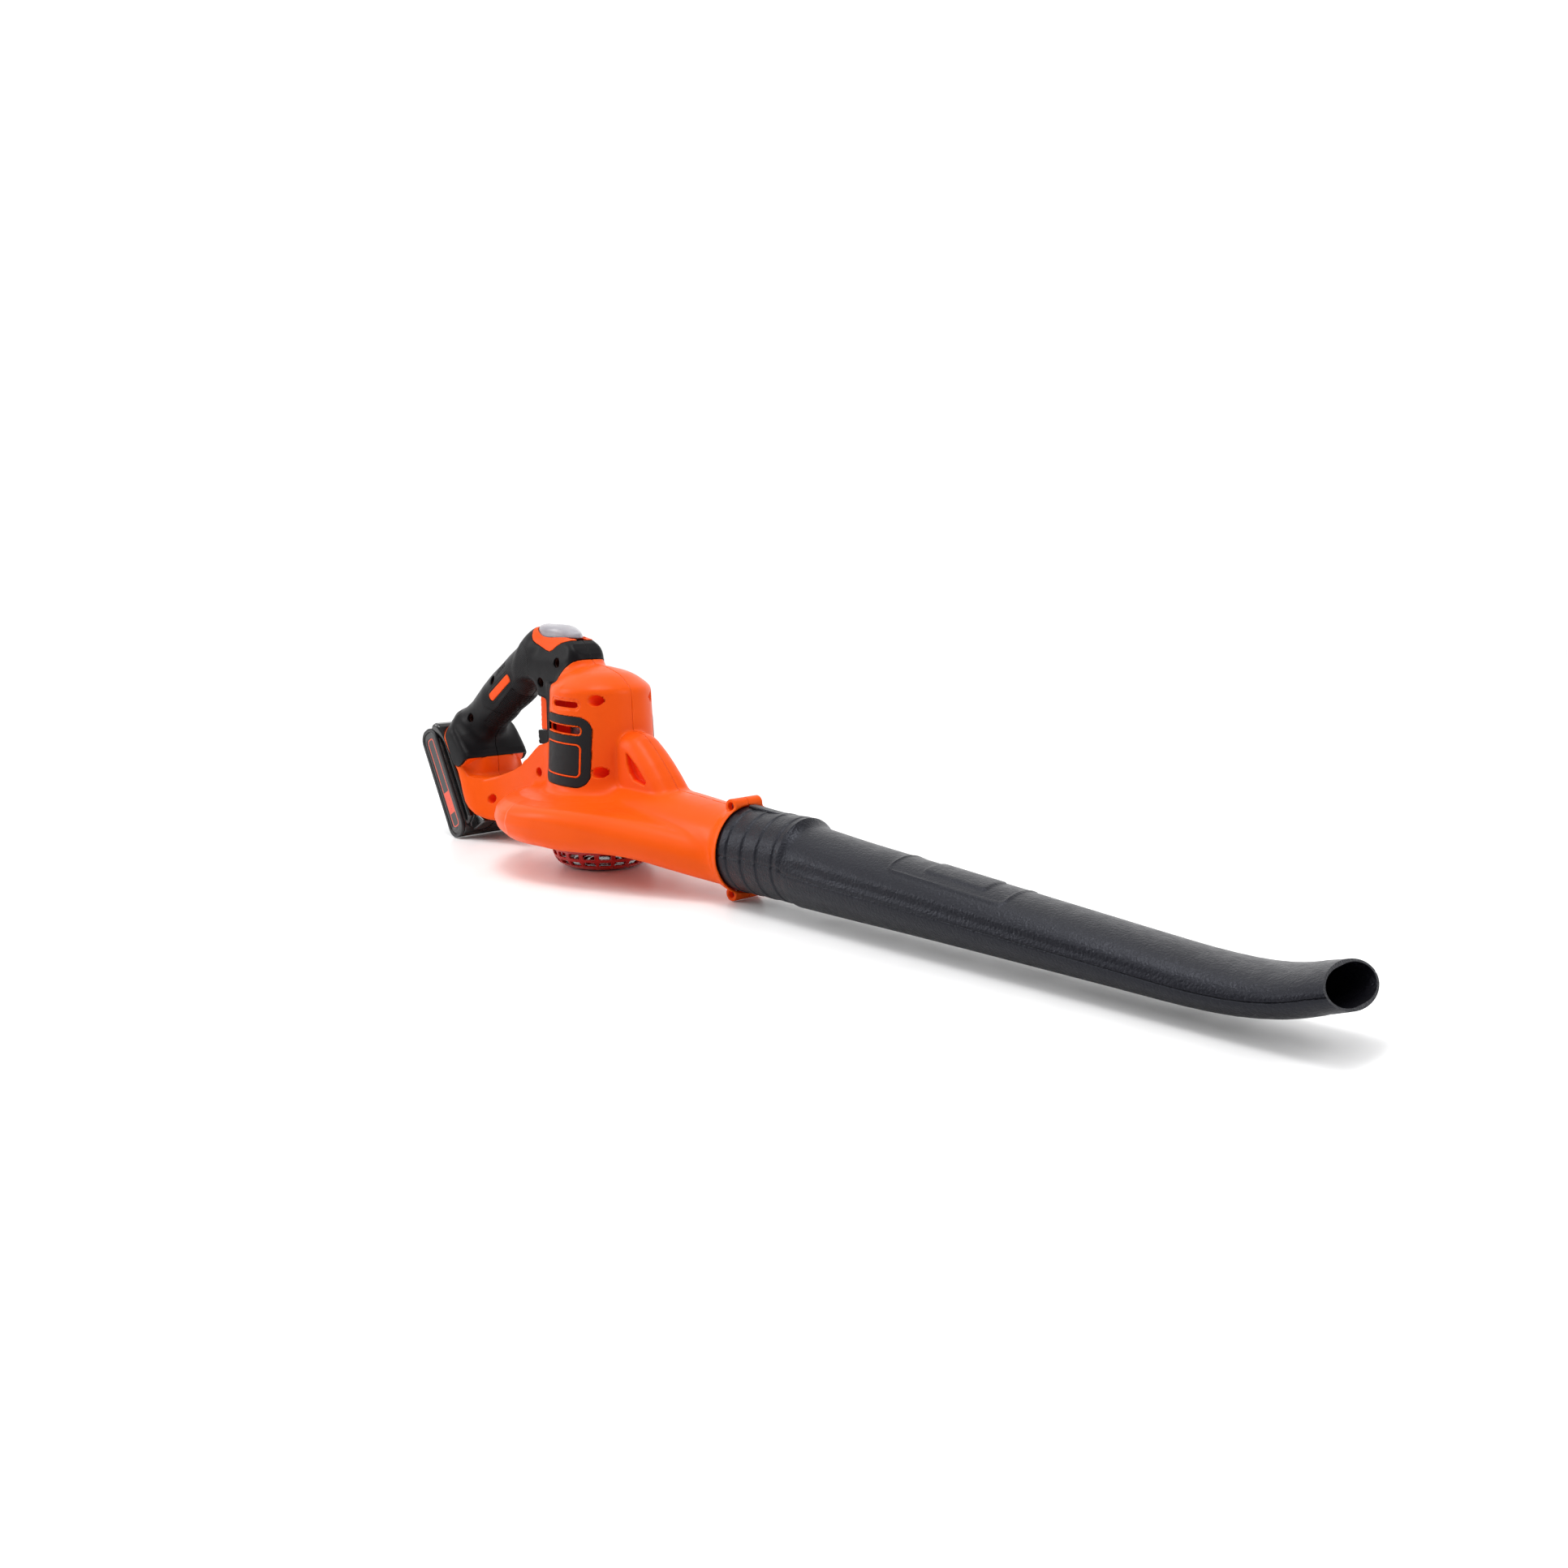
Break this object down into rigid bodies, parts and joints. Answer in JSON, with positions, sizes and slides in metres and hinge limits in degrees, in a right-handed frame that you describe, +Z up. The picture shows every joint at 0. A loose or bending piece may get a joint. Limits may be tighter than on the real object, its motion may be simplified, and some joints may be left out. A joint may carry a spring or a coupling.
{
  "type": "cordless leaf blower",
  "caption": "Compact cordless leaf blower: upright motor over a scroll fan housing, D-handle with slide switch, slide-in battery pack and long tapering tube with an upturned oval mouth.",
  "frame": {"origin": "on the ground under the motor axis, at the centre of the foot of the inlet grille", "axes": "+X along the tube towards its mouth, +Z up along the motor axis, +Y to the left side of the tool"},
  "size_m": [0.9075, 0.176, 0.2084],
  "materials": {
    "orange_shell": "satin moulded shell",
    "soft_black": "fine grained soft cover",
    "orange_trim": "satin",
    "panel_black": "fine texture",
    "switch_grey": "frosted",
    "inlet_red": "satin",
    "tube_black": "coarse moulded texture",
    "pack_black": "fine texture",
    "pack_frame": "satin",
    "pack_inlay": "satin inlay",
    "steel": "zinc plated",
    "lamination": "oiled sheet steel and winding",
    "magnet": "sintered",
    "brass_part": "bare",
    "plate_alloy": "die cast",
    "fan_black": "glass filled",
    "cell_wrap": "shrink film",
    "holder_white": "as moulded",
    "board_green": "solder mask",
    "wire_red": "flexible insulation"
  },
  "bodies": {
    "housing": {"housing_right": "orange_shell", "housing_left": "orange_shell", "handle_cover_right": "soft_black", "handle_cover_left": "soft_black", "side_panel_right": "panel_black", "side_panel_left": "panel_black", "panel_frame_right": "orange_trim", "panel_frame_left": "orange_trim", "grip_insert_right": "orange_trim", "grip_insert_left": "orange_trim", "finger_rib": "orange_trim", "switch_surround": "orange_trim", "switch_module": "pack_black", "inlet_grille": "inlet_red", "motor_can": "steel", "magnets": "magnet", "motor_end_bell": "pack_black", "motor_plate": "plate_alloy", "motor_screws": "steel", "bearing_lower": "steel", "bearing_upper": "steel", "housing_screws": "steel", "motor_wires": "wire_red", "terminal_block": "pack_black", "terminal_blades": "brass_part"},
    "slide_switch": {"thumb_slide": "switch_grey"},
    "rotor": {"motor_shaft": "steel", "armature": "lamination", "commutator": "brass_part", "fan": "fan_black", "fan_nut": "steel"},
    "battery_pack": {"pack_case_outer": "pack_black", "pack_case_inner": "pack_black", "pack_frame_right": "pack_frame", "pack_frame_left": "pack_frame", "pack_plate_right": "pack_inlay", "pack_plate_left": "pack_inlay", "pack_cells": "cell_wrap", "pack_board": "board_green", "pack_contacts": "brass_part", "pack_screws": "steel", "cell_holder": "holder_white", "cell_straps": "steel", "latch_spring": "steel"},
    "latch_key": {"pack_latch": "pack_black"},
    "blower_tube": {"tube_upper": "tube_black", "tube_lower": "tube_black"}
  },
  "joints": [
    {"name": "switch_slide", "type": "slide", "parent": "housing", "child": "slide_switch", "axis": [1, 0, 0], "range_m": [0, 0.006]},
    {"name": "rotor_spin", "type": "hinge", "parent": "housing", "child": "rotor", "pos_m": [0, 0, 0.08], "axis": [0, 0, 1], "continuous": true},
    {"name": "pack_release", "type": "slide", "parent": "housing", "child": "battery_pack", "axis": [0.4848, 0, -0.8746], "range_m": [0, 0.05]},
    {"name": "latch_press", "type": "slide", "parent": "battery_pack", "child": "latch_key", "axis": [-0.8746, 0, -0.4848], "range_m": [0, 0.0025], "stiffness_N_per_m": 1500, "springref_m": -0.002},
    {"name": "tube_pull", "type": "slide", "parent": "housing", "child": "blower_tube", "axis": [1, 0, 0], "range_m": [0, 0.045]}
  ]
}
